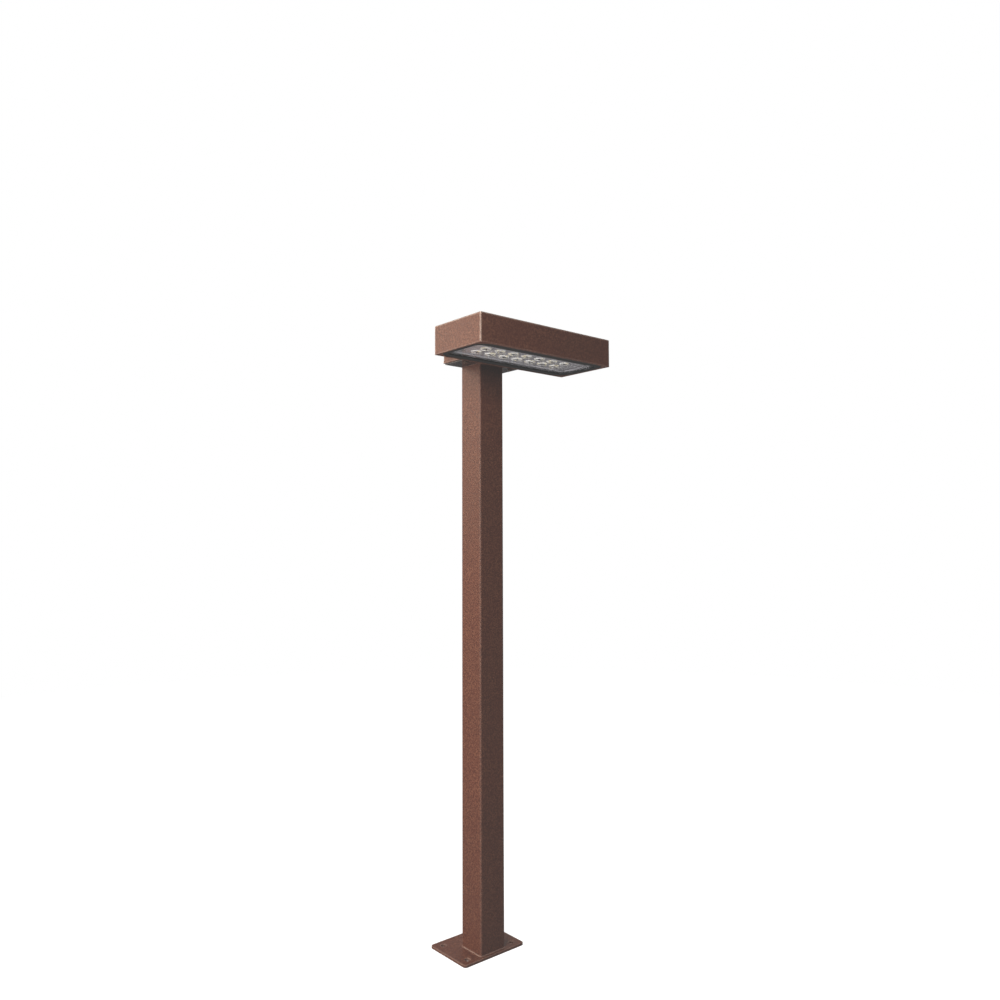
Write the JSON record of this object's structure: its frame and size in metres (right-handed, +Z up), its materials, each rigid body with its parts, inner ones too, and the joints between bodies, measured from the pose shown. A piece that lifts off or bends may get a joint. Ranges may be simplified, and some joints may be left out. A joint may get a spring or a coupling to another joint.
{
  "type": "bollard light",
  "caption": "Square post on a bolted foot plate with a connection box and a flat down-facing LED head that reaches forward.",
  "frame": {"origin": "centre of the cable hole in the foot plate's underside, on the post's axis", "axes": "+Z up the post, -Y towards the head, +X across, to the right for someone who looks along +Y"},
  "size_m": [0.275, 0.227, 1],
  "materials": {
    "rust_coat": "fine-textured rust-brown powder coat, matt",
    "rust_coat_alloy": "aluminium under the same fine-textured rust-brown powder coat, matt",
    "plate_coat": "smooth dark brown coat, satin",
    "black_silicone": "matt black silicone",
    "clear_glass": "clear toughened glass, polished",
    "clear_lens": "clear moulded acrylic, polished",
    "grey_panel": "aluminium sheet, satin grey paint",
    "board_white": "white solder mask, satin",
    "led_phosphor": "yellow phosphor under clear resin",
    "bare_aluminium": "mill finish",
    "zinc_steel": "zinc plated",
    "brass_screw": "nickelled brass",
    "natural_nylon": "natural nylon",
    "driver_case": "black potted case",
    "lead_brown": "brown insulation",
    "lead_blue": "blue insulation",
    "lead_green_yellow": "green and yellow insulation",
    "lead_red": "red insulation",
    "lead_black": "black insulation"
  },
  "bodies": {
    "root": {"base_plate": "rust_coat", "base_weld": "rust_coat", "post": "rust_coat", "post_top_weld": "rust_coat", "top_plate": "plate_coat", "plate_grommet": "black_silicone", "box_gasket": "black_silicone", "head_bracket": "rust_coat_alloy", "hood_nuts": "zinc_steel", "hood_screws": "zinc_steel", "terminal_block": "natural_nylon", "terminal_clamps": "brass_screw", "terminal_fixings": "zinc_steel", "earth_stud": "brass_screw", "earth_nut": "brass_screw", "earth_lug": "zinc_steel", "earth_lead": "lead_green_yellow", "head_seal": "black_silicone", "head_bolts": "zinc_steel", "head_washers": "zinc_steel", "head_nuts": "zinc_steel", "wire_grommet": "black_silicone", "head_housing": "rust_coat_alloy", "glass": "clear_glass", "glass_gasket": "black_silicone", "reflector_panel": "grey_panel", "lens_array": "clear_lens", "led_chips": "led_phosphor", "led_board": "board_white", "heat_plate": "bare_aluminium", "panel_spacers": "natural_nylon", "panel_screws": "zinc_steel", "plate_standoffs": "zinc_steel", "plate_screws": "zinc_steel", "driver": "driver_case", "driver_screws": "zinc_steel", "live_lead": "lead_brown", "neutral_lead": "lead_blue", "led_lead_plus": "lead_red", "led_lead_minus": "lead_black"}
  },
  "joints": []
}
